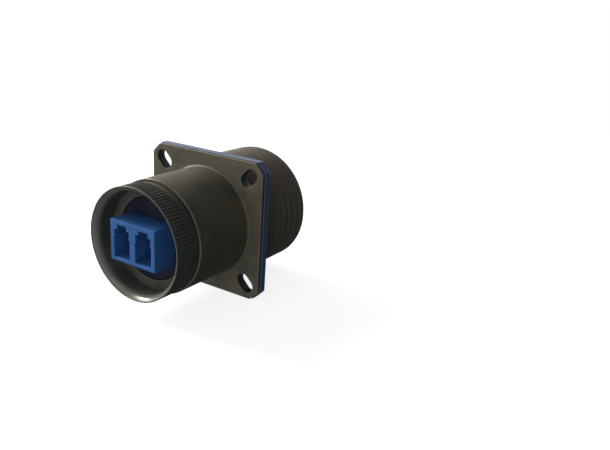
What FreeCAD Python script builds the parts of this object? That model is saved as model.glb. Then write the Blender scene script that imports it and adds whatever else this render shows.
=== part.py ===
"""Wall-mounted fibre optic bulkhead adapter: a square-flanged coupling shell that carries a twin-port adapter.

The axis runs along Y. The ports at the knurled end face -Y, the coupling barrel faces +Y and +Z is up.
The origin is on the axis, in the plane where the flange gasket meets the panel.
"""

import FreeCAD, Part
import math
import os
import re

import Sketcher

# Driving sizes in millimetres, angles in degrees and one count. Each is a cell of the sheet.
SIZES = {
    # Coupling barrel on the mating side
    "coupling_dia": 30.16,
    "coupling_wall": 2.33,
    "coupling_length": 21.4,
    "coupling_lead": 0.8,
    "pilot_relief": 0.88,
    "pilot_length": 3.0,
    "key_depth": 0.75,
    "key_run": 10.0,
    "master_key_width": 4.4,
    "minor_key_width": 1.9,
    "minor_key_angle_first": 80.0,
    "minor_key_angle_second": 142.0,
    "minor_key_angle_third": 196.0,
    "minor_key_angle_fourth": 293.0,
    # Flange and its gasket
    "flange_land": 1.57,
    "flange_thick": 1.0,
    "flange_corner": 2.2,
    "corner_round": 0.8,
    "slot_width": 3.25,
    "slot_inner_margin": 4.345,
    "slot_outer_margin": 3.165,
    "gasket_thick": 1.8,
    "gasket_proud": 0.2,
    "gasket_slot_room": 0.3,
    "gasket_hole_room": 0.15,
    # Plain barrel, its bore and the web that the carrier seats on
    "rear_bore_dia": 22.8,
    "barrel_wall": 1.8,
    "barrel_length": 16.45,
    "barrel_edge": 0.25,
    "root_cove": 0.5,
    "gland_width": 1.2,
    "gland_depth": 1.0,
    "web_place": 2.1,
    "web_thick": 4.1,
    "web_window_room": 0.5,
    # Knurled back nut
    "nut_gap": 0.25,
    "nut_step": 0.35,
    "nut_head_length": 6.55,
    "nut_lip": 0.25,
    "nut_wall": 1.25,
    "nut_mouth_depth": 1.0,
    "nut_bore_depth": 5.5,
    "nut_band_length": 1.6,
    "nut_band_step": 0.3,
    "nut_neck_length": 4.45,
    "nut_neck_wall": 1.8,
    "nut_run_room": 0.05,
    "nut_seat_room": 0.05,
    "knurl_count": 98,
    "knurl_depth": 0.25,
    "knurl_crest": 0.12,
    "knurl_land": 0.4,
    # Carrier halves and the seal under the nut
    "carrier_room": 0.05,
    "carrier_split": 0.02,
    "nose_room": 0.15,
    "nose_setback": 0.35,
    "tab_width": 3.0,
    "tab_height": 1.5,
    "tab_length": 1.2,
    "tab_margin": 0.8,
    "tab_room": 0.05,
    "seal_room": 0.02,
    # Twin-port adapter
    "adapter_length": 28.0,
    "adapter_room": 0.05,
    "rib_height": 0.7,
    "rib_length": 2.0,
    "port_pitch": 6.25,
    "port_width": 4.65,
    "port_height": 4.6,
    "side_wall": 1.0,
    "floor_wall": 0.85,
    "roof_wall": 1.0,
    "ledge_height": 0.45,
    "ledge_step": 0.35,
    "lug_height": 1.35,
    "lug_step": 0.15,
    "notch_height": 1.05,
    "notch_width": 2.7,
    "latch_depth": 7.0,
    "catch_thick": 1.6,
    # Sleeve holders and ferrule alignment sleeves
    "holder_plate": 1.6,
    "holder_dia": 3.0,
    "holder_reach": 5.2,
    "holder_room": 0.02,
    "sleeve_length": 6.8,
    "sleeve_bore": 1.25,
    "sleeve_wall": 0.2,
    "sleeve_slit": 0.3,
    "sleeve_room": 0.04,
    "ferrule_room": 0.05,
}

# Lengths and stations worked out from the driving sizes. A station is a place along Y.
WORKED_OUT = {
    "coupling_r": "coupling_dia / 2",
    "pilot_r": "coupling_r - pilot_relief",
    "mating_r": "coupling_r - coupling_wall",
    "flange_half": "coupling_r + flange_land",
    "slot_inner": "(flange_half - slot_inner_margin) * sqrt(2)",
    "slot_outer": "(flange_half - slot_outer_margin) * sqrt(2)",
    "rear_bore_r": "rear_bore_dia / 2",
    "barrel_r": "rear_bore_r + barrel_wall",
    "flange_far": "-gasket_thick",
    "flange_near": "flange_far - flange_thick",
    "barrel_end": "flange_near - barrel_length",
    "coupling_end": "flange_far + coupling_length",
    "web_near": "web_place - web_thick",
    "nut_back": "barrel_end - nut_gap",
    "rim": "nut_back - nut_head_length",
    "head_r": "barrel_r - nut_step",
    "band_r": "head_r - nut_band_step",
    "mouth_r": "head_r - nut_lip",
    "nut_bore_r": "head_r - nut_wall",
    "neck_r": "rear_bore_r - nut_run_room",
    "neck_bore_r": "neck_r - nut_neck_wall",
    "knurl_half": "pi * head_r / knurl_count - knurl_crest / 2",
    "carrier_near": "nut_back + nut_neck_length + nut_seat_room",
    "carrier_length": "web_near - carrier_near",
    "carrier_r": "rear_bore_r - carrier_room",
    "ledge": "rim + nut_bore_depth",
    "nose_r": "neck_bore_r - nose_room",
    "nose_length": "carrier_near - ledge - nose_setback",
    "tab_top": "carrier_r - tab_margin",
    "adapter_half_width": "(port_pitch + port_width) / 2 + side_wall",
    "channel_height": "ledge_height + lug_height + notch_height",
    "adapter_half_height": "(floor_wall + port_height + channel_height + roof_wall) / 2",
    "adapter_half_length": "adapter_length / 2",
    "adapter_mid": "rim + adapter_half_length",
    "port_x": "port_pitch / 2",
    "port_half": "port_width / 2",
    "port_floor": "floor_wall - adapter_half_height",
    "port_roof": "port_floor + port_height",
    "ledge_top": "port_roof + ledge_height",
    "lug_top": "ledge_top + lug_height",
    "notch_top": "lug_top + notch_height",
    "ferrule_z": "port_floor + port_height / 2",
    "sleeve_r": "sleeve_bore / 2 + sleeve_wall",
}

# Keyways in the mating bore: name, width and angle from the top
KEYWAYS = (
    ("MasterKeyway", "master_key_width", None),
    ("MinorKeywayFirst", "minor_key_width", "minor_key_angle_first"),
    ("MinorKeywaySecond", "minor_key_width", "minor_key_angle_second"),
    ("MinorKeywayThird", "minor_key_width", "minor_key_angle_third"),
    ("MinorKeywayFourth", "minor_key_width", "minor_key_angle_fourth"),
)

SLOT_COUNT = 4
SLOT_ANGLE_DEG = 45.0
HALF_TURN_DEG = 180.0
# A knurl cutter stands this share of its depth above the crest.
KNURL_OVERCUT = 0.1
TOWARD_NEAR = -1
TOWARD_FAR = 1

doc = FreeCAD.newDocument("BulkheadAdapter")
sheet = doc.addObject("Spreadsheet::Sheet", "Sizes")


def fill_sheet():
    """Put each driving size in a cell of the sheet, under its own alias."""
    for row, (name, size) in enumerate(SIZES.items(), start=1):
        sheet.set(f"A{row}", name)
        sheet.set(f"B{row}", str(size))
        sheet.setAlias(f"B{row}", name)
    doc.recompute()


def sized(text):
    """An expression of named sizes, written in terms of the sheet's cells."""

    def cell(match):
        name = match.group()
        if name in WORKED_OUT:
            return f"({sized(WORKED_OUT[name])})"
        return f"Sizes.{name}" if name in SIZES else name

    return re.sub(r"[a-z_]+", cell, text)


def number(text):
    """The value of an expression of named sizes, to start a sketch from and to find edges by."""

    def value(match):
        name = match.group()
        if name in WORKED_OUT:
            return f"({number(WORKED_OUT[name])!r})"
        return f"({SIZES[name]!r})" if name in SIZES else name

    return FreeCAD.Units.parseQuantity(re.sub(r"[a-z_]+", value, text)).Value


def bind(feature, prop, text):
    feature.setExpression(prop, sized(text))


def new_body(label, station=None):
    """An empty body, moved along the axis to a station."""
    body = doc.addObject("PartDesign::Body", label)
    body.Label = label
    if station:
        bind(body, "Placement.Base.y", station)
    return body


def origin_feature(body, role):
    return next(f for f in body.Origin.OriginFeatures if f.Role == role)


def sketch_on(body, name, role):
    sketch = body.newObject("Sketcher::SketchObject", name)
    sketch.AttachmentSupport = [(origin_feature(body, role), "")]
    sketch.MapMode = "FlatFace"
    return sketch


def profile_sketch(body, name):
    """A sketch for turning: its x is the radius and its y runs along the axis."""
    return sketch_on(body, name, "XY_Plane")


def cross_sketch(body, name, station, turn=0.0):
    """A sketch across the axis at a station of the body: its x is X and its y is Z."""
    sketch = sketch_on(body, name, "XZ_Plane")
    turned = FreeCAD.Rotation(FreeCAD.Vector(0, 0, 1), turn)
    sketch.AttachmentOffset = FreeCAD.Placement(FreeCAD.Vector(), turned)
    bind(sketch, "AttachmentOffset.Base.z", f"-({station})")
    return sketch


def place_point(sketch, geometry, vertex, x, y):
    """Hold one point of a sketch at the two expressions."""
    for kind, text in (("DistanceX", x), ("DistanceY", y)):
        held = Sketcher.Constraint(kind, -1, 1, geometry, vertex, number(text))
        index = sketch.addConstraint(held)
        bind(sketch, f"Constraints[{index}]", text)


def outline(sketch, corners):
    """A closed outline of straight sides through corners given as pairs of expressions."""
    points = [FreeCAD.Vector(number(x), number(y), 0) for x, y in corners]
    following = points[1:] + points[:1]
    sides = [sketch.addGeometry(Part.LineSegment(a, b)) for a, b in zip(points, following)]
    for side, after in zip(sides, sides[1:] + sides[:1]):
        sketch.addConstraint(Sketcher.Constraint("Coincident", side, 2, after, 1))
    for side, (x, y) in zip(sides, corners):
        place_point(sketch, side, 1, x, y)


def rectangle(sketch, left, right, bottom, top):
    outline(sketch, [(left, bottom), (right, bottom), (right, top), (left, top)])


def centred_rectangle(sketch, half_width, half_height):
    rectangle(sketch, f"-({half_width})", half_width, f"-({half_height})", half_height)


def circle(sketch, radius, x="0", y="0"):
    centre = FreeCAD.Vector(number(x), number(y), 0)
    shape = Part.Circle(centre, FreeCAD.Vector(0, 0, 1), number(radius))
    index = sketch.addGeometry(shape)
    place_point(sketch, index, 3, x, y)
    held = sketch.addConstraint(Sketcher.Constraint("Radius", index, number(radius)))
    bind(sketch, f"Constraints[{held}]", radius)


def slot(sketch, inner, outer, radius):
    """A round-ended slot along the sketch's x, between two end centres."""
    near_x, far_x, r = number(inner), number(outer), number(radius)
    up = FreeCAD.Vector(0, 0, 1)
    quarter = math.pi / 2
    far_circle = Part.Circle(FreeCAD.Vector(far_x, 0, 0), up, r)
    near_circle = Part.Circle(FreeCAD.Vector(near_x, 0, 0), up, r)
    upper = Part.LineSegment(FreeCAD.Vector(near_x, r, 0), FreeCAD.Vector(far_x, r, 0))
    lower = Part.LineSegment(FreeCAD.Vector(far_x, -r, 0), FreeCAD.Vector(near_x, -r, 0))
    top = sketch.addGeometry(upper)
    far_end = sketch.addGeometry(Part.ArcOfCircle(far_circle, -quarter, quarter))
    bottom = sketch.addGeometry(lower)
    near_end = sketch.addGeometry(Part.ArcOfCircle(near_circle, quarter, 3 * quarter))
    joins = ((top, 2, far_end, 2), (far_end, 1, bottom, 1), (bottom, 2, near_end, 2), (near_end, 1, top, 1))
    for join in joins:
        sketch.addConstraint(Sketcher.Constraint("Tangent", *join))
    place_point(sketch, far_end, 3, outer, "0")
    place_point(sketch, near_end, 3, inner, "0")
    held = sketch.addConstraint(Sketcher.Constraint("Radius", far_end, r))
    bind(sketch, f"Constraints[{held}]", radius)


def turned(body, name, sketch):
    feature = body.newObject("PartDesign::Revolution", name)
    feature.Profile = sketch
    feature.ReferenceAxis = (sketch, ["V_Axis"])
    feature.Angle = 360
    doc.recompute()
    return feature


def pad(body, name, sketch, length, way):
    feature = body.newObject("PartDesign::Pad", name)
    feature.Profile = sketch
    feature.Reversed = way == TOWARD_FAR
    bind(feature, "Length", length)
    doc.recompute()
    return feature


def must_cut(feature, before):
    """A cut that misses the solid shows no error, so its volume is compared."""
    doc.recompute()
    if not feature.Shape.Volume < before:
        raise RuntimeError(f"{feature.Label} removes nothing")
    return feature


def pocket(body, name, sketch, length, way):
    before = body.Shape.Volume
    feature = body.newObject("PartDesign::Pocket", name)
    feature.Profile = sketch
    feature.Reversed = way == TOWARD_NEAR
    bind(feature, "Length", length)
    return must_cut(feature, before)


def ring_of(body, name, feature, count):
    """Repeat a cut evenly round the axis."""
    before = body.Shape.Volume
    pattern = body.newObject("PartDesign::PolarPattern", name)
    pattern.Originals = [feature]
    pattern.Axis = (origin_feature(body, "Y_Axis"), [""])
    pattern.Angle = 360
    bind(pattern, "Occurrences", count)
    body.Tip = pattern
    return must_cut(pattern, before)


def mirrored(body, name, features):
    """Repeat features on the other side of the middle plane."""
    mirror = body.newObject("PartDesign::Mirrored", name)
    mirror.Originals = features
    mirror.MirrorPlane = (origin_feature(body, "YZ_Plane"), [""])
    body.Tip = mirror
    doc.recompute()
    return mirror


def fillet(body, name, base, radius, wanted):
    """Round the edges of a feature that a test picks out."""
    edges = [f"Edge{i}" for i, edge in enumerate(base.Shape.Edges, start=1) if wanted(edge)]
    feature = body.newObject("PartDesign::Fillet", name)
    feature.Base = (base, edges)
    bind(feature, "Radius", radius)
    doc.recompute()
    return feature


def near_to(a, b):
    return abs(a - b) < 1e-6


def corner_edge(half):
    """A test for the straight edges along the axis at the cut corners of a square plate."""

    def wanted(edge):
        middle = edge.CenterOfMass
        lengthwise = isinstance(edge.Curve, Part.Line) and abs(edge.Curve.Direction.y) > 0.999
        return lengthwise and near_to(max(abs(middle.x), abs(middle.z)), half)

    return wanted


def cut_square(sketch, half, cut):
    """A square outline with its four corners cut off."""
    short = f"({half}) - ({cut})"
    quarter = [(short, f"-({half})"), (half, f"-({short})")]
    corners = []
    for _ in range(4):
        corners += quarter
        quarter = [(f"-({y})", x) for x, y in quarter]
    outline(sketch, corners)


def plate_slots(body, station, thick, radius):
    """Four diagonal slots through a square plate."""
    sketch = cross_sketch(body, "SlotOutline", station, SLOT_ANGLE_DEG)
    slot(sketch, "slot_inner", "slot_outer", radius)
    first = pocket(body, "Slot", sketch, thick, TOWARD_NEAR)
    return ring_of(body, "Slots", first, str(SLOT_COUNT))


def make_shell():
    """The shell: one turning with a square flange, slots, keyways and a seat for the carrier."""
    body = new_body("receptacle_shell")
    profile = profile_sketch(body, "ShellProfile")
    outline(
        profile,
        [
            ("rear_bore_r + gland_width", "barrel_end"),
            ("barrel_r - barrel_edge", "barrel_end"),
            ("barrel_r", "barrel_end + barrel_edge"),
            ("barrel_r", "flange_near - root_cove"),
            ("barrel_r + root_cove", "flange_near"),
            ("barrel_r + root_cove", "flange_far"),
            ("pilot_r", "flange_far"),
            ("pilot_r", "pilot_length"),
            ("coupling_r", "pilot_length + pilot_relief"),
            ("coupling_r", "coupling_end - coupling_lead"),
            ("coupling_r - coupling_lead", "coupling_end"),
            ("mating_r", "coupling_end"),
            ("mating_r", "web_place"),
            ("0", "web_place"),
            ("0", "web_near"),
            ("rear_bore_r", "web_near"),
            ("rear_bore_r", "barrel_end + gland_depth"),
            ("rear_bore_r + gland_width", "barrel_end + gland_depth"),
        ],
    )
    turned(body, "ShellTurning", profile)
    plate = cross_sketch(body, "FlangeOutline", "flange_far")
    cut_square(plate, "flange_half", "flange_corner")
    circle(plate, "rear_bore_r")
    flange = pad(body, "Flange", plate, "flange_thick", TOWARD_NEAR)
    fillet(body, "FlangeCorners", flange, "corner_round", corner_edge(number("flange_half")))
    plate_slots(body, "flange_far", "flange_thick", "slot_width / 2")
    for name, width, angle in KEYWAYS:
        sketch = cross_sketch(body, name + "Outline", "coupling_end", number(angle) if angle else 0.0)
        if angle:
            bind(sketch, "AttachmentOffset.Rotation.Angle", angle)
        half = f"{width} / 2"
        rectangle(sketch, f"-({half})", half, "mating_r - key_depth", "mating_r + key_depth")
        pocket(body, name, sketch, "key_run", TOWARD_NEAR)
    window = cross_sketch(body, "WebWindowOutline", "web_place")
    centred_rectangle(window, "adapter_half_width + web_window_room", "adapter_half_height + web_window_room")
    pocket(body, "WebWindow", window, "web_thick", TOWARD_NEAR)
    notch = cross_sketch(body, "TabNotchOutline", "web_near")
    notch_half = "tab_width / 2 + tab_room"
    notch_low = "tab_top - tab_height - tab_room"
    rectangle(notch, f"-({notch_half})", notch_half, notch_low, "tab_top + tab_room")
    pocket(body, "TabNotch", notch, "tab_length + tab_room", TOWARD_FAR)
    return body


def make_gasket():
    """The flat gasket between flange and panel, a little proud of the flange all round."""
    body = new_body("flange_gasket")
    plate = cross_sketch(body, "GasketOutline", "0")
    cut_square(plate, "flange_half + gasket_proud", "flange_corner")
    circle(plate, "pilot_r + gasket_hole_room")
    blank = pad(body, "Gasket", plate, "gasket_thick", TOWARD_NEAR)
    fillet(body, "GasketCorners", blank, "corner_round", corner_edge(number("flange_half + gasket_proud")))
    plate_slots(body, "0", "gasket_thick", "slot_width / 2 + gasket_slot_room")
    return body


def make_nut():
    """The back nut: a knurled head with a counterbored mouth, and a neck that screws into the barrel."""
    body = new_body("back_nut", "nut_back")
    profile = profile_sketch(body, "NutProfile")
    outline(
        profile,
        [
            ("neck_bore_r", "nut_neck_length"),
            ("neck_bore_r", "nut_bore_depth - nut_head_length"),
            ("nut_bore_r", "nut_bore_depth - nut_head_length"),
            ("nut_bore_r", "nut_mouth_depth - nut_head_length"),
            ("mouth_r", "-nut_head_length"),
            ("head_r", "-nut_head_length"),
            ("head_r", "-nut_band_length"),
            ("band_r", "-nut_band_length"),
            ("band_r", "0"),
            ("neck_r", "0"),
            ("neck_r", "nut_neck_length"),
        ],
    )
    turned(body, "NutTurning", profile)
    groove = cross_sketch(body, "KnurlGrooveOutline", "-nut_band_length")
    wide = f"knurl_half * {1 + KNURL_OVERCUT}"
    above = f"head_r + knurl_depth * {KNURL_OVERCUT}"
    outline(groove, [("0", "head_r - knurl_depth"), (wide, above), (f"-({wide})", above)])
    knurl_length = "nut_head_length - nut_band_length - knurl_land"
    first = pocket(body, "KnurlGroove", groove, knurl_length, TOWARD_NEAR)
    ring_of(body, "Knurl", first, "knurl_count")
    return body


def make_seal():
    """The flat seal ring in the mouth of the barrel, under the head of the nut."""
    body = new_body("nut_seal", "barrel_end + gland_depth")
    sketch = cross_sketch(body, "SealOutline", "0")
    circle(sketch, "rear_bore_r + gland_width - seal_room")
    circle(sketch, "rear_bore_r")
    pad(body, "Seal", sketch, "gland_depth + nut_gap - seal_room", TOWARD_NEAR)
    return body


def make_carrier(label, side):
    """One half of the round carrier, with a nose through the neck of the nut.

    side is 1 for the upper half, which has the tab, and -1 for the lower.
    """
    body = new_body(label, "web_near")
    disc = cross_sketch(body, "CarrierOutline", "0")
    circle(disc, "carrier_r")
    pad(body, "Carrier", disc, "carrier_length", TOWARD_NEAR)
    nose = cross_sketch(body, "NoseOutline", "-carrier_length")
    circle(nose, "nose_r")
    pad(body, "Nose", nose, "nose_length", TOWARD_NEAR)
    whole_length = "carrier_length + nose_length"
    window = cross_sketch(body, "WindowOutline", "0")
    centred_rectangle(window, "adapter_half_width + adapter_room", "adapter_half_height + adapter_room")
    pocket(body, "Window", window, whole_length, TOWARD_NEAR)
    seat = cross_sketch(body, "RibSeatOutline", "adapter_mid + rib_length / 2 + adapter_room - web_near")
    reach = "rib_height + adapter_room"
    centred_rectangle(seat, f"adapter_half_width + {reach}", f"adapter_half_height + {reach}")
    pocket(body, "RibSeat", seat, "rib_length + 2 * adapter_room", TOWARD_NEAR)
    half = cross_sketch(body, "OtherHalf", "0")
    edges = sorted((f"{-side} * rear_bore_r", f"{side} * carrier_split / 2"), key=number)
    rectangle(half, "-rear_bore_r", "rear_bore_r", *edges)
    pocket(body, "Split", half, whole_length, TOWARD_NEAR)
    if side > 0:
        tab = cross_sketch(body, "TabOutline", "0")
        rectangle(tab, "-tab_width / 2", "tab_width / 2", "tab_top - tab_height", "tab_top")
        pad(body, "Tab", tab, "tab_length", TOWARD_FAR)
    return body


def weld_plane_body(label, turn):
    """A body that faces -Y from the weld plane of the adapter, then is turned about the upright."""
    body = new_body(label)
    body.Placement = FreeCAD.Placement(FreeCAD.Vector(), FreeCAD.Rotation(FreeCAD.Vector(0, 0, 1), turn))
    bind(body, "Placement.Base.y", "adapter_mid")
    return body


def make_adapter_half(label, turn):
    """One welded half of the twin-port housing."""
    body = weld_plane_body(label, turn)
    block = cross_sketch(body, "HousingOutline", "0")
    centred_rectangle(block, "adapter_half_width", "adapter_half_height")
    pad(body, "Housing", block, "adapter_half_length", TOWARD_NEAR)
    rib = cross_sketch(body, "RibOutline", "0")
    centred_rectangle(rib, "adapter_half_width + rib_height", "adapter_half_height + rib_height")
    pad(body, "Rib", rib, "rib_length / 2", TOWARD_NEAR)

    cavity = cross_sketch(body, "PortOutline", "-adapter_half_length")
    rectangle(cavity, "port_x - port_half", "port_x + port_half", "port_floor", "port_roof")
    port = pocket(body, "Port", cavity, "adapter_half_length", TOWARD_FAR)

    channel = cross_sketch(body, "LatchChannelOutline", "-adapter_half_length")
    steps = [
        ("port_half - ledge_step", "port_roof"),
        ("port_half - ledge_step", "ledge_top"),
        ("port_half - lug_step", "ledge_top"),
        ("port_half - lug_step", "lug_top"),
        ("notch_width / 2", "lug_top"),
        ("notch_width / 2", "notch_top"),
    ]
    right = [(f"port_x + ({x})", z) for x, z in steps]
    left = [(f"port_x - ({x})", z) for x, z in reversed(steps)]
    outline(channel, right + left)
    latch = pocket(body, "LatchChannel", channel, "latch_depth", TOWARD_FAR)

    room = cross_sketch(body, "LatchRoomOutline", "catch_thick - adapter_half_length")
    room_half = "(port_half - lug_step)"
    rectangle(room, f"port_x - {room_half}", f"port_x + {room_half}", "ledge_top", "notch_top")
    lugs = pocket(body, "LatchRoom", room, "latch_depth - catch_thick", TOWARD_FAR)

    mirrored(body, "SecondPort", [port, latch, lugs])
    seat = cross_sketch(body, "HolderSeatOutline", "0")
    rectangle(seat, "-port_x - port_half", "port_x + port_half", "port_floor", "port_roof")
    pocket(body, "HolderSeat", seat, "holder_plate", TOWARD_NEAR)
    return body


def make_holder(label, turn):
    """A plate with two tubes, which holds one end of both alignment sleeves."""
    body = weld_plane_body(label, turn)
    plate = cross_sketch(body, "PlateOutline", "0")
    plate_half = "port_x + port_half - holder_room"
    rectangle(plate, f"-({plate_half})", plate_half, "port_floor + holder_room", "port_roof - holder_room")
    pad(body, "Plate", plate, "holder_plate", TOWARD_NEAR)
    tube = cross_sketch(body, "TubeOutline", "-holder_plate")
    circle(tube, "holder_dia / 2", "port_x", "ferrule_z")
    holder = pad(body, "Tube", tube, "holder_reach - holder_plate", TOWARD_NEAR)
    seat = cross_sketch(body, "SleeveSeatOutline", "0")
    circle(seat, "sleeve_r + sleeve_room", "port_x", "ferrule_z")
    sleeve_seat = pocket(body, "SleeveSeat", seat, "sleeve_length / 2 + sleeve_room", TOWARD_NEAR)
    bore = cross_sketch(body, "FerruleBoreOutline", "0")
    circle(bore, "sleeve_bore / 2 + ferrule_room", "port_x", "ferrule_z")
    ferrule_bore = pocket(body, "FerruleBore", bore, "holder_reach", TOWARD_NEAR)
    mirrored(body, "SecondTube", [holder, sleeve_seat, ferrule_bore])
    return body


def make_sleeve(label, side):
    """A split alignment sleeve across the weld plane. side is -1 for the left port and 1 for the right."""
    body = new_body(label, "adapter_mid")
    bind(body, "Placement.Base.x", f"{side} * port_x")
    bind(body, "Placement.Base.z", "ferrule_z")
    ring = cross_sketch(body, "SleeveOutline", "sleeve_length / 2")
    circle(ring, "sleeve_r")
    circle(ring, "sleeve_bore / 2")
    pad(body, "Sleeve", ring, "sleeve_length", TOWARD_NEAR)
    slit = cross_sketch(body, "SlitOutline", "sleeve_length / 2")
    rectangle(slit, "-sleeve_slit / 2", "sleeve_slit / 2", "0", "sleeve_r + sleeve_wall")
    pocket(body, "Slit", slit, "sleeve_length", TOWARD_NEAR)
    return body


def make_all():
    """Every piece of the adapter. The far pieces are the near ones turned round."""
    return [
        make_shell(),
        make_gasket(),
        make_nut(),
        make_seal(),
        make_carrier("carrier_upper", 1),
        make_carrier("carrier_lower", -1),
        make_adapter_half("adapter_near_half", 0),
        make_adapter_half("adapter_far_half", HALF_TURN_DEG),
        make_holder("sleeve_holder_near", 0),
        make_holder("sleeve_holder_far", HALF_TURN_DEG),
        make_sleeve("alignment_sleeve_left", -1),
        make_sleeve("alignment_sleeve_right", 1),
    ]


def check(pieces):
    """Stop if any feature failed, or a piece is not one valid solid."""
    doc.recompute()
    for item in doc.Objects:
        if "Invalid" in item.State or "Error" in item.State:
            raise RuntimeError(f"{item.Label} failed: {item.State}")
    for piece in pieces:
        shape = piece.Shape
        if shape.isNull() or not shape.isValid() or len(shape.Solids) != 1:
            raise RuntimeError(f"{piece.Label} is not one valid solid")


def write(pieces):
    os.makedirs("parts", exist_ok=True)
    for piece in pieces:
        piece.Shape.exportStep(f"parts/{piece.Label}.step")


fill_sheet()
pieces = make_all()
check(pieces)
write(pieces)
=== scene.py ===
"""Looks of the fibre optic bulkhead adapter: plated shell and nut, gasket, resin ports, studio and camera."""
import math

import bmesh
import bpy
from mathutils import Matrix, Vector


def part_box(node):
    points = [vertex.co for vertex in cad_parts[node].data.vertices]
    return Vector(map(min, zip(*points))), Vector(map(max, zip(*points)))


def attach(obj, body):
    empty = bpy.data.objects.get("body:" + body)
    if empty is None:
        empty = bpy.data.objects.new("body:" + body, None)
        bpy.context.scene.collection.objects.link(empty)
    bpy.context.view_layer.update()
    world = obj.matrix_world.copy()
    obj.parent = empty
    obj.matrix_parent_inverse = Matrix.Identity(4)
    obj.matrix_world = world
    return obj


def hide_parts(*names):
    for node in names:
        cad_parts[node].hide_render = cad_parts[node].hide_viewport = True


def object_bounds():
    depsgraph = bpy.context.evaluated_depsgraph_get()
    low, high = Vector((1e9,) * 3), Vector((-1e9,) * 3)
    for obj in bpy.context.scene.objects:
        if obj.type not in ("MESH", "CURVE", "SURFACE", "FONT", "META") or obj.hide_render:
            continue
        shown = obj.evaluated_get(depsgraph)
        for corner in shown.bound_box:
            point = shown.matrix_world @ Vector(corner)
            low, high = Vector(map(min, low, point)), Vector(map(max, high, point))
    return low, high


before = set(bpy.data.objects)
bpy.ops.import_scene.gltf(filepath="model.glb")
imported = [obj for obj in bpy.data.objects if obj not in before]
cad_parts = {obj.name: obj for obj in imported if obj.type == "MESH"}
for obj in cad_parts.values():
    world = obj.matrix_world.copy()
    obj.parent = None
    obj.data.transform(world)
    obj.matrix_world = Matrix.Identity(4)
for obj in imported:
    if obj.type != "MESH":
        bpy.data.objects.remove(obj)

CAD_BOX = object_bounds()
MM = 0.001

# A piece is made in millimetres, with its axis along Y, and scaled to metres when it is placed.


def corners_mm(node):
    """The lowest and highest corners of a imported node, in millimetres."""
    return [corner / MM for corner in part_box(node)]


SHELL_LOW, SHELL_HIGH = corners_mm("receptacle_shell")
GASKET_LOW, GASKET_HIGH = corners_mm("flange_gasket")
NUT_LOW, NUT_HIGH = corners_mm("back_nut")

# Shell: stations along Y and radii
BARREL_END = SHELL_LOW.y
COUPLING_END = SHELL_HIGH.y
FLANGE_HALF = SHELL_HIGH.x
FLANGE_FAR = GASKET_LOW.y
FLANGE_THICK = 1.0
FLANGE_NEAR = FLANGE_FAR - FLANGE_THICK
FLANGE_MID = FLANGE_FAR - FLANGE_THICK / 2
BARREL_R = 13.2
REAR_BORE_R = 11.4
GLAND_R = 12.6
GLAND_FLOOR = BARREL_END + 1.0
PILOT_R = 14.2
PILOT_END = 3.0
COUPLING_R = 15.08
RELIEF_END = PILOT_END + COUPLING_R - PILOT_R
LEAD = 0.8
MATING_R = 12.75
WEB_FAR = 2.1
WEB_NEAR = -2.0
WEB_HOLE_R = 4.0
WINDOW_HALF_WIDTH = 6.95
WINDOW_HALF_HEIGHT = 5.15
ROOT_FILLET = 0.55
ROOT_SUNK = 0.02
ROOT_REACH = 0.7
PLATE_HOLE_R = 12.3

# Keyways in the mating bore: width and angle from the top in degrees
KEY_DEPTH = 0.75
KEY_RUN = 10.0
KEYWAYS = ((4.4, 0.0), (1.9, 80.0), (1.9, 142.0), (1.9, 196.0), (1.9, 293.0))
TAB_NOTCH_WIDTH = 3.1
TAB_NOTCH_LOW = 9.0
TAB_NOTCH_HIGH = 10.6
TAB_NOTCH_DEPTH = 1.25

# Coupling thread: one start, right-handed
THREAD_PITCH = 2.54
THREAD_DEPTH = 0.30
THREAD_FLAT = 0.30
THREAD_FLANK = 0.55
THREAD_PHASE = 0.17
THREAD_ROW = 0.12

# Plates
CORNER_CUT = 2.2
CORNER_ROUND = 0.8
SLOT_INNER = 17.4
SLOT_OUTER = 19.07
SLOT_R = 1.625
FLANGE_EDGE = 0.14
GASKET_SLOT_R = 1.925
GASKET_HOLE_R = 14.35
GASKET_EDGE = 0.16

# Back nut
RIM = NUT_LOW.y
NECK_END = NUT_HIGH.y
HEAD_R = NUT_HIGH.x
NUT_BACK = BARREL_END - 0.25
LEDGE = NUT_BACK - 1.05
BAND_START = NUT_BACK - 1.6
BAND_R = HEAD_R - 0.3
MOUTH_R = HEAD_R - 0.25
MOUTH_END = RIM + 1.0
MOUTH_ROUND = 2.2
NUT_BORE_R = HEAD_R - 1.25
NECK_R = 11.35
NECK_BORE_R = 9.55
KNURL_COUNT = 98
KNURL_DEPTH = 0.25
KNURL_CREST_SHARE = 0.073
KNURL_START = RIM + 0.4
KNURL_RAMP = 0.12
COLUMNS_PER_TOOTH = 8

# Fineness
SHELL_COLUMNS = 288
ROUND_STEPS = 5
SLOT_STEPS = 24
EDGE_STEPS = 2
SHARP_ANGLE = math.radians(40)
MERGE = 1e-4
QUARTER = math.pi / 2
FULL = 2 * math.pi


def rounded(corners, steps=ROUND_STEPS):
    """The points of a closed outline of (x, y, rounding) corners, each with an arc of its own radius."""
    points = []
    for index, (x, y, rounding) in enumerate(corners):
        corner = Vector((x, y))
        if not rounding:
            points.append(corner)
            continue
        before = (Vector(corners[index - 1][:2]) - corner).normalized()
        after = (Vector(corners[(index + 1) % len(corners)][:2]) - corner).normalized()
        half = before.angle(after) / 2
        reach = rounding / math.tan(half)
        centre = corner + (before + after).normalized() * rounding / math.sin(half)
        start = corner + before * reach - centre
        end = corner + after * reach - centre
        turn = math.pi - 2 * half
        for step in range(steps + 1):
            share = step / steps
            part = start * math.sin((1 - share) * turn) + end * math.sin(share * turn)
            points.append(centre + part / math.sin(turn))
    return points


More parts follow.
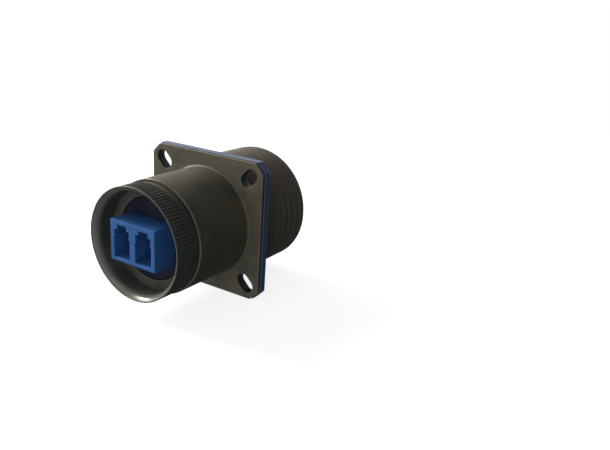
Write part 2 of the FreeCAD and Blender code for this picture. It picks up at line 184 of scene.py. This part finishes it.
def with_rows(points, first, last, row, least_r):
    """The points with more rows put in on the wall outside least_r, between two stations."""
    result = []
    for point, after in zip(points, points[1:] + points[:1]):
        result.append(point)
        outside = min(point.x, after.x) > least_r
        within = min(point.y, after.y) > first - row and max(point.y, after.y) < last + row
        count = int(abs(after.y - point.y) / row) if outside and within else 0
        result += [point.lerp(after, step / count) for step in range(1, count)]
    return result


def new_object(name, mesh):
    piece = bpy.data.objects.new(name, mesh)
    bpy.context.scene.collection.objects.link(piece)
    return piece


def from_bmesh(name, bm):
    mesh = bpy.data.meshes.new(name)
    bmesh.ops.recalc_face_normals(bm, faces=bm.faces)
    bm.to_mesh(mesh)
    bm.free()
    return new_object(name, mesh)


def lathe(name, points, columns, shape=None):
    """A ring turned about Y from a closed profile of (radius, station). shape may change a radius."""
    bm = bmesh.new()
    rings = []
    for column in range(columns):
        angle = FULL * column / columns
        radii = [shape(point.x, point.y, angle) if shape else point.x for point in points]
        place = zip(radii, points)
        rings.append([bm.verts.new((r * math.sin(angle), p.y, r * math.cos(angle))) for r, p in place])
    for ring, after in zip(rings, rings[1:] + rings[:1]):
        for row in range(len(points)):
            bm.faces.new((ring[row - 1], ring[row], after[row], after[row - 1]))
    return from_bmesh(name, bm)


def block(name, low, high, turn=0.0):
    """A box between two corners, turned about Y by an angle from the top."""
    bm = bmesh.new()
    bmesh.ops.create_cube(bm, size=1.0)
    size = Vector(high) - Vector(low)
    middle = (Vector(high) + Vector(low)) / 2
    bm.transform(Matrix.Rotation(turn, 4, "Y") @ Matrix.Translation(middle) @ Matrix.Diagonal((*size, 1.0)))
    return from_bmesh(name, bm)


def slot_outline(turn, inner, outer, radius):
    """A round-ended slot that points away from the middle."""
    points = []
    for centre, start in ((outer, -QUARTER), (inner, QUARTER)):
        for step in range(SLOT_STEPS + 1):
            angle = start + math.pi * step / SLOT_STEPS
            across = radius * math.sin(angle)
            along = centre + radius * math.cos(angle)
            points.append(Matrix.Rotation(turn, 2) @ Vector((along, across)))
    return points


def diagonal_slots(radius):
    return [slot_outline(QUARTER * (step + 0.5), SLOT_INNER, SLOT_OUTER, radius) for step in range(4)]


def cut_square(half):
    """A square outline with cut and softly rounded corners."""
    short = half - CORNER_CUT
    quarter = [(short, -half), (half, -short)]
    corners = []
    for _ in range(4):
        corners += [(x, y, CORNER_ROUND) for x, y in quarter]
        quarter = [(-y, x) for x, y in quarter]
    return rounded(corners)


def circle_outline(radius, steps):
    angles = [FULL * step / steps for step in range(steps)]
    return [Vector((radius * math.cos(angle), radius * math.sin(angle))) for angle in angles]


def plate(name, outlines, near, far, edge):
    """A flat plate across the axis with rounded edges. The first outline is its rim, the others are holes."""
    curve = bpy.data.curves.new(name, "CURVE")
    curve.dimensions = "2D"
    curve.fill_mode = "BOTH"
    curve.extrude = (far - near) / 2 - edge
    curve.bevel_depth = edge
    curve.bevel_resolution = EDGE_STEPS
    curve.offset = -edge
    for points in outlines:
        spline = curve.splines.new("POLY")
        spline.points.add(len(points) - 1)
        spline.use_cyclic_u = True
        for target, point in zip(spline.points, points):
            target.co = (*point, 0.0, 1.0)
    pattern = new_object(name, curve)
    solid = bpy.data.meshes.new_from_object(pattern.evaluated_get(bpy.context.evaluated_depsgraph_get()))
    bpy.data.objects.remove(pattern)
    bm = bmesh.new()
    bm.from_mesh(solid)
    bpy.data.meshes.remove(solid)
    bmesh.ops.remove_doubles(bm, verts=bm.verts, dist=MERGE)
    upright = Matrix.Rotation(QUARTER, 4, "X")
    bm.transform(Matrix.Translation((0, (near + far) / 2, 0)) @ upright)
    return from_bmesh(name, bm)


def combine(piece, tool, operation):
    """Add or cut one solid with another, which is used up."""
    modifier = piece.modifiers.new(operation, "BOOLEAN")
    modifier.object = tool
    modifier.operation = operation
    modifier.solver = "MANIFOLD"
    result = bpy.data.meshes.new_from_object(piece.evaluated_get(bpy.context.evaluated_depsgraph_get()))
    piece.modifiers.clear()
    piece.data = result
    bpy.data.objects.remove(tool)


def place(piece, body, node, slot, material):
    """Scale a finished piece to metres, shade it and put it in the place of its node."""
    piece.data.transform(Matrix.Scale(MM, 4))
    piece.data.shade_smooth()
    piece.data.set_sharp_from_angle(angle=SHARP_ANGLE)
    piece.data.materials.clear()
    piece.data.materials.append(material)
    normals = piece.modifiers.new("EvenShading", "WEIGHTED_NORMAL")
    normals.keep_sharp = True
    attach(piece, body)
    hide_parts(node)


def add(tree, kind, sockets=None, **settings):
    """Add a shader node with its settings, and link or set its sockets."""
    node = tree.nodes.new("ShaderNode" + kind)
    for key, value in settings.items():
        setattr(node, key, value)
    for key, value in (sockets or {}).items():
        if isinstance(value, bpy.types.NodeSocket):
            tree.links.new(value, node.inputs[key])
        else:
            node.inputs[key].default_value = value
    return node


SHADER_SOCKETS = {
    "metallic": "Metallic",
    "specular": "Specular IOR Level",
    "sheen": "Sheen Weight",
    "sheen_tint": "Sheen Tint",
    }


def new_material(name, colour, **constants):
    """A material with a surface shader whose even values are set on the shader itself."""
    material = bpy.data.materials.new(name)
    material.use_nodes = True
    material.diffuse_color = colour
    shader = material.node_tree.nodes["Principled BSDF"]
    for key, value in constants.items():
        shader.inputs[SHADER_SOCKETS[key]].default_value = value
    return material, material.node_tree, shader


def object_place(tree):
    """The place on the object in metres, in its own frame."""
    return add(tree, "TexCoord").outputs["Object"]


def turned_place(tree, place_socket):
    """The place as (radius, station), so that a pattern on it runs round the axis."""
    across = add(tree, "VectorMath", {0: place_socket, 1: (1.0, 0.0, 1.0)}, operation="MULTIPLY")
    radius = add(tree, "VectorMath", {0: across.outputs[0]}, operation="LENGTH")
    along = add(tree, "SeparateXYZ", {0: place_socket})
    return add(tree, "CombineXYZ", {"X": radius.outputs["Value"], "Y": along.outputs["Y"]}).outputs[0]


def grain(tree, vector, size, detail=3.0, roughness=0.55):
    """Noise with features of about the given size in millimetres."""
    sockets = {"Vector": vector, "Scale": 1 / (size * MM), "Detail": detail, "Roughness": roughness}
    return add(tree, "TexNoise", sockets).outputs["Fac"]


def ramp(tree, factor, stops):
    """Colours along a factor, from (position, colour) stops."""
    node = add(tree, "ValToRGB", {"Fac": factor})
    elements = node.color_ramp.elements
    while len(elements) < len(stops):
        elements.new(1.0)
    for element, (position, colour) in zip(elements, stops):
        element.position = position
        element.color = (*colour, 1.0)
    return node.outputs["Color"]


def remap(tree, value, from_low, from_high, to_low, to_high, smooth=False):
    sockets = {
        "Value": value,
        "From Min": from_low,
        "From Max": from_high,
        "To Min": to_low,
        "To Max": to_high,
    }
    kind = "SMOOTHSTEP" if smooth else "LINEAR"
    return add(tree, "MapRange", sockets, interpolation_type=kind).outputs["Result"]


def maths(tree, operation, *values):
    return add(tree, "Math", dict(enumerate(values)), operation=operation).outputs[0]


def mixed(tree, factor, first, second, blend="MIX"):
    node = add(tree, "Mix", {"Factor": factor}, data_type="RGBA", blend_type=blend)
    colours = [socket for socket in node.inputs if socket.type == "RGBA"]
    for socket, value in zip(colours, (first, second)):
        if isinstance(value, bpy.types.NodeSocket):
            tree.links.new(value, socket)
        else:
            socket.default_value = (*value, 1.0)
    return next(socket for socket in node.outputs if socket.type == "RGBA")


def bump(tree, height, depth, strength, normal=None):
    """Relief of a given depth in millimetres."""
    sockets = {"Height": height, "Distance": depth * MM, "Strength": strength}
    if normal:
        sockets["Normal"] = normal
    return add(tree, "Bump", sockets).outputs["Normal"]


OLIVE_DEEP = (0.058, 0.051, 0.037)
OLIVE = (0.083, 0.072, 0.050)
OLIVE_WARM = (0.100, 0.080, 0.055)
# Painted warm light: a brown tint for the plating past the flange
PAINTED_WARM_LIGHT_FAR = (0.088, 0.068, 0.053)
# Tone of rubbed edges; also used as painted light on the mouth's inner wall
WEAR_AND_PAINTED_LIGHT_TONE = (0.15, 0.142, 0.118)
# Painted shade on the walls of the flange's slots
PAINTED_SLOT_SHADE = (0.026, 0.024, 0.018)
PLAIN_TINT = (1.0, 1.0, 1.0)
NUT_TINT = (0.87, 1.0, 1.15)
MOTTLE_SHADE = (0.86, 0.86, 0.86)
WHITE = (1.0, 1.0, 1.0)

# Plating: sizes in millimetres, roughness, and shares of 1
CLOUD_SIZE = 7.0
MOTTLE_SIZE = 0.9
LINE_SIZE = 0.16
LINE_DEPTH = 0.012
PORE_SIZE = 0.07
PORE_DEPTH = 0.006
EDGE_WIDTH = 0.32
EDGE_WEAR = (0.25, 0.75)
ROUGH_PLATING = (0.46, 0.58)
ROUGH_EDGE = 0.24
MOUTH_SHINE = 0.9
MOUTH_FADE = 0.3
# Painted light: how much lighter the mouth's inner wall is made
MOUTH_PAINTED_LIGHT = 0.9
# How strongly the painted warm light tints the plating past the flange
PAINTED_WARM_LIGHT_SHARE = 0.9
FINE_SHARE = 12


def near_edges(tree, section, edges):
    """How near a place is to any edge, where edges are points of a section across them: 1 on an edge."""
    nearest = None
    for out, station in edges:
        target = (out * MM, station * MM, 0.0)
        gap = add(tree, "VectorMath", {0: section, 1: target}, operation="DISTANCE").outputs["Value"]
        nearest = gap if nearest is None else maths(tree, "MINIMUM", nearest, gap)
    return remap(tree, nearest, 0.0, EDGE_WIDTH * MM, 1.0, 0.0, smooth=True)


def near_line(tree, section, first, last, width):
    """How near a place is to the line through two points of a section: 1 on the line."""
    along = Vector(last) - Vector(first)
    across = Vector((along.y, -along.x, 0.0)).normalized()
    offset = across.dot(Vector((*first, 0.0))) * MM
    reach = add(tree, "VectorMath", {0: section, 1: across}, operation="DOT_PRODUCT").outputs["Value"]
    gap = maths(tree, "ABSOLUTE", maths(tree, "SUBTRACT", reach, offset))
    return remap(tree, gap, 0.0, width * MM, 1.0, 0.0, smooth=True)


def plate_section(tree, place_socket, half):
    """The place as (reach past the rim of the square flange, station)."""
    sides = add(tree, "VectorMath", {0: place_socket}, operation="ABSOLUTE").outputs[0]
    split = add(tree, "SeparateXYZ", {0: sides})
    x, z = split.outputs["X"], split.outputs["Z"]
    straight = maths(tree, "SUBTRACT", maths(tree, "MAXIMUM", x, z), half * MM)
    corner = maths(tree, "SUBTRACT", maths(tree, "ADD", x, z), (2 * half - CORNER_CUT) * MM)
    reach = maths(tree, "MAXIMUM", straight, maths(tree, "MULTIPLY", corner, math.sqrt(0.5)))
    along = add(tree, "SeparateXYZ", {0: place_socket})
    return add(tree, "CombineXYZ", {"X": reach, "Y": along.outputs["Y"]}).outputs[0]


def slot_gap(tree, place_socket):
    """The distance from the middle line of the nearest diagonal slot."""
    sides = add(tree, "VectorMath", {0: place_socket}, operation="ABSOLUTE").outputs[0]
    diagonal = (math.sqrt(0.5), 0.0, math.sqrt(0.5))
    along = add(tree, "VectorMath", {0: sides, 1: diagonal}, operation="DOT_PRODUCT").outputs["Value"]
    aside = (math.sqrt(0.5), 0.0, -math.sqrt(0.5))
    across = add(tree, "VectorMath", {0: sides, 1: aside}, operation="DOT_PRODUCT").outputs["Value"]
    before = maths(tree, "SUBTRACT", SLOT_INNER * MM, along)
    beyond = maths(tree, "SUBTRACT", along, SLOT_OUTER * MM)
    past = maths(tree, "MAXIMUM", maths(tree, "MAXIMUM", before, beyond), 0.0)
    reach = add(tree, "CombineXYZ", {"X": across, "Y": past}).outputs[0]
    return add(tree, "VectorMath", {0: reach}, operation="LENGTH").outputs["Value"]


def olive_plating(name, rings, flange_half=None, mouth=None, tint=PLAIN_TINT):
    """Dull olive plating: uneven tone, fine turning lines, and edges rubbed lighter. It also carries painted
    light: a warm tint past the flange, painted shade on the slot walls and, when given, a lighter mouth.
    """
    material, tree, shader = new_material(name, (*OLIVE, 1.0), metallic=0.15, specular=0.3)
    place_socket = object_place(tree)
    turned = turned_place(tree, place_socket)
    cloud = grain(tree, place_socket, CLOUD_SIZE, detail=4.0)
    mottle = grain(tree, place_socket, MOTTLE_SIZE)
    lines = grain(tree, turned, LINE_SIZE, detail=2.0)
    tones = (OLIVE_DEEP, OLIVE, OLIVE_WARM)
    deep, middle, warm = ([share * part for share, part in zip(tone, tint)] for tone in tones)
    colour = ramp(tree, cloud, [(0.32, deep), (0.52, middle), (0.72, warm)])
    shade = ramp(tree, mottle, [(0.3, MOTTLE_SHADE), (0.7, WHITE)])
    edge = near_edges(tree, turned, rings)
    if flange_half:
        # Painted warm light: the plating past the flange is tinted brown
        station = add(tree, "SeparateXYZ", {0: turned}).outputs["Y"]
        painted_warm_light = remap(tree, station, 0.0, PILOT_END * MM, 0.0, PAINTED_WARM_LIGHT_SHARE)
        colour = mixed(tree, painted_warm_light, colour, PAINTED_WARM_LIGHT_FAR)
        section = plate_section(tree, place_socket, flange_half)
        rim = near_edges(tree, section, [(0.0, FLANGE_NEAR), (0.0, FLANGE_FAR)])
        edge = maths(tree, "MAXIMUM", edge, rim)
        # Painted shade: the slot walls are made dark and lose their rubbed edges
        gap = slot_gap(tree, place_socket)
        wall = remap(tree, gap, SLOT_R * MM, (SLOT_R + FLANGE_EDGE) * MM, 1.0, 0.0)
        colour = mixed(tree, wall, colour, PAINTED_SLOT_SHADE)
        edge = maths(tree, "MULTIPLY", edge, maths(tree, "SUBTRACT", 1.0, wall))
    colour = mixed(tree, 1.0, colour, shade, "MULTIPLY")
    patchy = remap(tree, mottle, 0.35, 0.65, *EDGE_WEAR)
    wear_and_painted_light = maths(tree, "MULTIPLY", edge, patchy)
    if mouth:
        # Painted light: the mouth's chamfer and bore are made lighter, and also glossier
        mouth_gloss_and_painted_light = near_line(tree, turned, *mouth, MOUTH_SHINE)
        radius = add(tree, "SeparateXYZ", {0: turned}).outputs["X"]
        within = remap(tree, radius, (MOUTH_R - MOUTH_FADE) * MM, MOUTH_R * MM, 1.0, 0.0)
        mouth_gloss_and_painted_light = maths(tree, "MULTIPLY", mouth_gloss_and_painted_light, within)
        wear_and_painted_light = maths(tree, "MAXIMUM", wear_and_painted_light, maths(tree, "MULTIPLY", mouth_gloss_and_painted_light, MOUTH_PAINTED_LIGHT))
        edge = maths(tree, "MAXIMUM", edge, mouth_gloss_and_painted_light)
    # Rubbed edges and the painted light of the mouth, mixed into the colour
    tree.links.new(mixed(tree, wear_and_painted_light, colour, WEAR_AND_PAINTED_LIGHT_TONE), shader.inputs["Base Color"])
    dull = remap(tree, lines, 0.3, 0.7, *ROUGH_PLATING)
    gloss = add(tree, "Mix", {"Factor": edge, "A": dull, "B": ROUGH_EDGE}).outputs["Result"]
    tree.links.new(gloss, shader.inputs["Roughness"])
    pores = grain(tree, place_socket, PORE_SIZE, detail=1.0)
    relief = bump(tree, lines, LINE_DEPTH, 0.35)
    tree.links.new(bump(tree, pores, PORE_DEPTH, 0.3, relief), shader.inputs["Normal"])
    return material


def speckled(name, tones, size, rough, relief, inner=None, **constants):
    """A moulded material: two close tones in soft patches, uneven gloss and a fine skin.

    Patches and relief are in millimetres, and inner is a painted shade for the walls of the diagonal slots.
    """
    dark, light = tones
    material, tree, shader = new_material(name, (*light, 1.0), **constants)
    place_socket = object_place(tree)
    patches = grain(tree, place_socket, size)
    fine = grain(tree, place_socket, size / FINE_SHARE, detail=2.0)
    colour = ramp(tree, patches, [(0.35, dark), (0.65, light)])
    if inner:
        # Painted shade on the walls of the diagonal slots
        gap = slot_gap(tree, place_socket)
        wall = remap(tree, gap, GASKET_SLOT_R * MM, (GASKET_SLOT_R + GASKET_EDGE) * MM, 1.0, 0.0)
        colour = mixed(tree, wall, colour, inner)
    tree.links.new(colour, shader.inputs["Base Color"])
    tree.links.new(remap(tree, fine, 0.3, 0.7, *rough), shader.inputs["Roughness"])
    tree.links.new(bump(tree, fine, relief, 0.4), shader.inputs["Normal"])
    return material


def make_materials():
    shell_rings = [
        (BARREL_R, BARREL_END),
        (COUPLING_R, COUPLING_END - LEAD),
        (COUPLING_R - LEAD, COUPLING_END),
        (MATING_R, COUPLING_END),
    ]
    nut_rings = [
        (HEAD_R, RIM),
        (BAND_R, NUT_BACK),
        (NECK_BORE_R, LEDGE),
    ]
    mouth = ((MOUTH_R, RIM), (NUT_BORE_R, MOUTH_END))
    return {
        "shell": olive_plating("BodyPlating", shell_rings, FLANGE_HALF),
        "nut": olive_plating("NutPlating", nut_rings, mouth=mouth, tint=NUT_TINT),
        "gasket": speckled(
            "GasketRubber",
            tones=((0.012, 0.026, 0.082), (0.016, 0.033, 0.100)),
            size=2.2,
            rough=(0.36, 0.50),
            relief=0.02,
            # painted shade for the walls of the gasket's slots
            inner=(0.008, 0.010, 0.016),
            sheen=0.15,
            sheen_tint=(0.6, 0.8, 1.0, 1.0),
            specular=0.7,
        ),
        "rubber": speckled(
            "SealRubber",
            tones=((0.010, 0.010, 0.010), (0.018, 0.018, 0.019)),
            size=1.5,
            rough=(0.5, 0.7),
            relief=0.02,
        ),
        "black": speckled(
            "CarrierResin",
            tones=((0.009, 0.010, 0.024), (0.012, 0.013, 0.030)),
            size=2.5,
            rough=(0.45, 0.6),
            relief=0.015,
            specular=0.2,
        ),
        "blue": speckled(
            "PortResin",
            tones=((0.026, 0.088, 0.255), (0.032, 0.104, 0.295)),
            size=3.0,
            rough=(0.34, 0.46),
            relief=0.01,
            specular=0.3,
        ),
        "ceramic": speckled(
            "SleeveCeramic",
            tones=((0.78, 0.76, 0.70), (0.86, 0.84, 0.79)),
            size=1.2,
            rough=(0.12, 0.2),
            relief=0.003,
        ),
    }


def thread_radius(r, station, angle):
    """The radius of the coupling wall, with the grooves of the thread cut in from outside."""
    if r < PILOT_R + 0.01 or station < PILOT_END:
        return r
    phase = (station / THREAD_PITCH - angle / FULL + THREAD_PHASE) % 1.0
    from_middle = abs(phase - 0.5) * THREAD_PITCH
    share = (from_middle - THREAD_FLAT / 2) / THREAD_FLANK
    share = min(max(share, 0.0), 1.0)
    soft = share * share * (3 - 2 * share)
    return min(r, COUPLING_R - THREAD_DEPTH * (1 - soft))


def make_shell(materials):
    """The shell: turned barrel and coupling with its thread, flange, keyways and web."""
    sunk = FLANGE_NEAR + ROOT_SUNK
    profile = rounded(
        [
            (GLAND_R, BARREL_END, 0.06),
            (BARREL_R, BARREL_END, 0.22),
            (BARREL_R, sunk, ROOT_FILLET),
            (BARREL_R + ROOT_REACH, sunk, 0),
            (BARREL_R + ROOT_REACH, FLANGE_MID, 0),
            (PILOT_R, FLANGE_MID, 0),
            (PILOT_R, PILOT_END, 0.2),
            (COUPLING_R, RELIEF_END, 0.12),
            (COUPLING_R, COUPLING_END - LEAD, 0.15),
            (COUPLING_R - LEAD, COUPLING_END, 0.12),
            (MATING_R, COUPLING_END, 0.2),
            (MATING_R, WEB_FAR, 0.25),
            (WEB_HOLE_R, WEB_FAR, 0),
            (WEB_HOLE_R, WEB_NEAR, 0),
            (REAR_BORE_R, WEB_NEAR, 0.2),
            (REAR_BORE_R, GLAND_FLOOR, 0),
            (GLAND_R, GLAND_FLOOR, 0.08),
        ]
    )
    profile = with_rows(profile, PILOT_END, COUPLING_END, THREAD_ROW, PILOT_R)
    shell = lathe("shell_body", profile, SHELL_COLUMNS, thread_radius)
    outlines = [cut_square(FLANGE_HALF), circle_outline(PLATE_HOLE_R, SHELL_COLUMNS), *diagonal_slots(SLOT_R)]
    combine(shell, plate("flange", outlines, FLANGE_NEAR, FLANGE_FAR, FLANGE_EDGE), "UNION")
    for width, angle in KEYWAYS:
        low = (-width / 2, COUPLING_END - KEY_RUN, MATING_R - KEY_DEPTH)
        high = (width / 2, COUPLING_END + 1, MATING_R + KEY_DEPTH)
        combine(shell, block("keyway", low, high, math.radians(angle)), "DIFFERENCE")
    window_low = (-WINDOW_HALF_WIDTH, WEB_NEAR - 1, -WINDOW_HALF_HEIGHT)
    window_high = (WINDOW_HALF_WIDTH, WEB_FAR + 1, WINDOW_HALF_HEIGHT)
    combine(shell, block("window", window_low, window_high), "DIFFERENCE")
    notch_low = (-TAB_NOTCH_WIDTH / 2, WEB_NEAR - 1, TAB_NOTCH_LOW)
    notch_high = (TAB_NOTCH_WIDTH / 2, WEB_NEAR + TAB_NOTCH_DEPTH, TAB_NOTCH_HIGH)
    combine(shell, block("notch", notch_low, notch_high), "DIFFERENCE")
    place(shell, "receptacle", "receptacle_shell", "olive_plating", materials["shell"])


def knurl_radius(r, station, angle):
    """The radius of the nut's head, with the grooves of the knurl."""
    if r < NUT_BORE_R + 0.5 or not KNURL_START <= station <= BAND_START:
        return r
    phase = (angle * KNURL_COUNT / FULL) % 1.0
    from_crest = min(phase, 1.0 - phase)
    share = max(0.0, (from_crest - KNURL_CREST_SHARE) / (0.5 - KNURL_CREST_SHARE))
    ramp_in = min(1.0, (station - KNURL_START) / KNURL_RAMP)
    return min(r, HEAD_R - KNURL_DEPTH * share * ramp_in)


def make_nut(materials):
    """The back nut: knurled head, plain band, counterbored mouth and neck."""
    profile = rounded(
        [
            (NECK_BORE_R, NECK_END, 0.1),
            (NECK_BORE_R, LEDGE, 0.2),
            (NUT_BORE_R, LEDGE, 0.15),
            (NUT_BORE_R, MOUTH_END, MOUTH_ROUND),
            (MOUTH_R, RIM, 0.1),
            (HEAD_R, RIM, 0.1),
            (HEAD_R, KNURL_START, 0),
            (HEAD_R, KNURL_START + KNURL_RAMP, 0),
            (HEAD_R, BAND_START, 0.05),
            (BAND_R, BAND_START, 0),
            (BAND_R, NUT_BACK, 0.12),
            (NECK_R, NUT_BACK, 0),
            (NECK_R, NECK_END, 0.15),
        ]
    )
    nut = lathe("back_nut_head", profile, KNURL_COUNT * COLUMNS_PER_TOOTH, knurl_radius)
    place(nut, "nut", "back_nut", "olive_plating", materials["nut"])


def make_gasket(materials):
    """The blue gasket, a little proud of the flange, with softly pressed edges."""
    outlines = [cut_square(GASKET_HIGH.x), circle_outline(GASKET_HOLE_R, SHELL_COLUMNS)]
    outlines += diagonal_slots(GASKET_SLOT_R)
    gasket = plate("gasket", outlines, GASKET_LOW.y, GASKET_HIGH.y, GASKET_EDGE)
    place(gasket, "receptacle", "flange_gasket", "blue_gasket", materials["gasket"])


def dress_node(name, material, edge):
    """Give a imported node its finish, with its edges softened."""
    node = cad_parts[name]
    for slot in node.material_slots:
        slot.material = material
    weld = node.modifiers.new("Weld", "WELD")
    weld.merge_threshold = MERGE * MM
    if edge:
        bevel = node.modifiers.new("Edges", "BEVEL")
        bevel.width = edge * MM
        bevel.segments = 2
        bevel.limit_method = "ANGLE"
        bevel.angle_limit = SHARP_ANGLE
        bevel.harden_normals = False
    normals = node.modifiers.new("EvenShading", "WEIGHTED_NORMAL")
    normals.keep_sharp = True


def dress_nodes(materials):
    finishes = {
        "nut_seal": ("rubber", 0.0),
        "carrier_upper": ("black", 0.12),
        "carrier_lower": ("black", 0.12),
        "adapter_near_half": ("blue", 0.14),
        "adapter_far_half": ("blue", 0.14),
        "sleeve_holder_near": ("blue", 0.0),
        "sleeve_holder_far": ("blue", 0.0),
        "alignment_sleeve_left": ("ceramic", 0.0),
        "alignment_sleeve_right": ("ceramic", 0.0),
    }
    for name, (finish, edge) in finishes.items():
        dress_node(name, materials[finish], edge)


CAMERA_PLACE = (0.0939303, -0.114207, 0.0492317)
CAMERA_TURN = (71.2677, -3.9542, 31.8067)
CAMERA_LENS = 36.983
SENSOR = 36.0


def make_camera():
    data = bpy.data.cameras.new("Camera")
    data.lens = CAMERA_LENS
    data.sensor_fit = "HORIZONTAL"
    data.sensor_width = SENSOR
    data.clip_start = 0.001
    camera = new_object("Camera", data)
    camera.location = CAMERA_PLACE
    camera.rotation_euler = [math.radians(angle) for angle in CAMERA_TURN]
    bpy.context.scene.camera = camera


FLOOR_REACH = 12.0
FLOOR_SHADE = (0.28, 0.28, 0.28)
FLOOR_FADE = (0.12, 0.45)
FLOOR_GLOW = 0.84
FLOOR_ROUGH = 0.9
FLOOR_SPECULAR = 0.1
FLOOR_GRAIN = 4.0
FLOOR_DIM = 0.97


def make_floor():
    """A pale floor that fades into the white background away from the object."""
    bm = bmesh.new()
    bmesh.ops.create_circle(bm, cap_ends=True, segments=96, radius=FLOOR_REACH)
    floor = from_bmesh("floor", bm)
    floor.location.z = GASKET_LOW.z * MM
    material = bpy.data.materials.new("FloorPaper")
    material.use_nodes = True
    tree = material.node_tree
    shader = tree.nodes["Principled BSDF"]
    shader.inputs["Roughness"].default_value = FLOOR_ROUGH
    shader.inputs["Specular IOR Level"].default_value = FLOOR_SPECULAR
    shader.inputs["Emission Color"].default_value = (1.0, 1.0, 1.0, 1.0)
    shader.inputs["Emission Strength"].default_value = FLOOR_GLOW
    place_socket = object_place(tree)
    fibre = grain(tree, place_socket, FLOOR_GRAIN)
    dim = [share * FLOOR_DIM for share in FLOOR_SHADE]
    tree.links.new(ramp(tree, fibre, [(0.3, dim), (0.7, FLOOR_SHADE)]), shader.inputs["Base Color"])
    away = add(tree, "VectorMath", {0: place_socket}, operation="LENGTH").outputs["Value"]
    fade = remap(tree, away, *FLOOR_FADE, 0.0, 1.0, smooth=True)
    glow = add(tree, "Emission", {"Color": (1.0, 1.0, 1.0, 1.0), "Strength": 1.0})
    blend = add(tree, "MixShader", {0: fade, 1: shader.outputs[0], 2: glow.outputs[0]})
    tree.links.new(blend.outputs[0], tree.nodes["Material Output"].inputs["Surface"])
    floor.data.materials.append(material)
    floor.visible_diffuse = False
    floor.visible_glossy = False
    floor.visible_shadow = False


SKY = (0.026, 0.036, 0.042)
EVEN = (1.0, 1.0, 1.0)
UPRIGHT = (1.0, 1.0, 0.40)
SOFT = (0.70, 0.95)
NARROW = (0.80, 0.97)

# Soft panels of the studio: direction, squeeze along each axis, fade and glow
PANELS = (
    ((0.06, -1.0, 0.10), UPRIGHT, SOFT, (1.15, 1.12, 1.16)),
    ((0.60, -0.80, 0.05), EVEN, SOFT, (0.44, 0.54, 0.54)),
    ((-0.97, 0.0, 0.24), EVEN, SOFT, (3.2, 3.3, 3.1)),
    ((-0.10, 0.05, 0.99), EVEN, SOFT, (0.38, 0.37, 0.35)),
    ((0.0, 0.80, 0.60), EVEN, SOFT, (0.06, 0.06, 0.06)),
    ((-0.20, 1.0, 0.05), EVEN, NARROW, (0.85, 0.85, 0.85)),
)


def panel_glow(tree, direction, towards, squeeze, fade, glow):
    """The light of one soft panel, fading to black away from its middle."""
    seen = add(tree, "VectorMath", {0: direction, 1: squeeze}, operation="MULTIPLY").outputs[0]
    seen = add(tree, "VectorMath", {0: seen}, operation="NORMALIZE").outputs[0]
    facing = add(tree, "VectorMath", {0: seen, 1: Vector(towards).normalized()}, operation="DOT_PRODUCT")
    share = remap(tree, facing.outputs["Value"], *fade, 0.0, 1.0, smooth=True)
    return mixed(tree, share, (0.0, 0.0, 0.0), glow)


def make_world():
    """Soft panels in front, at the left, above and behind. The background itself is plain white."""
    world = bpy.data.worlds.new("Studio")
    bpy.context.scene.world = world
    world.use_nodes = True
    tree = world.node_tree
    background = tree.nodes["Background"]
    direction = add(tree, "TexCoord").outputs["Generated"]
    light = SKY
    for panel in PANELS:
        light = mixed(tree, 1.0, light, panel_glow(tree, direction, *panel), "ADD")
    seen = add(tree, "LightPath").outputs["Is Camera Ray"]
    tree.links.new(mixed(tree, seen, light, WHITE), background.inputs["Color"])


def make_light(name, direction, distance, size, power, colour=WHITE):
    """A soft square light that faces the middle of the object."""
    data = bpy.data.lights.new(name, "AREA")
    data.size = size
    data.energy = power
    data.color = colour
    light = new_object(name, data)
    towards = Vector(direction).normalized()
    middle = (CAD_BOX[0] + CAD_BOX[1]) / 2
    light.location = middle + towards * distance
    light.rotation_euler = towards.to_track_quat("Z", "Y").to_euler()


def make_studio():
    make_floor()
    make_world()
    make_light("Window", (-0.85, -0.10, 0.50), 0.45, 0.18, 3.4, (1.0, 0.98, 0.94))
    make_light("Back", (-0.48, 0.82, 0.33), 0.60, 0.50, 0.15)
    bpy.context.scene.view_settings.view_transform = "Standard"


materials = make_materials()
make_shell(materials)
make_nut(materials)
make_gasket(materials)
dress_nodes(materials)
make_camera()
make_studio()
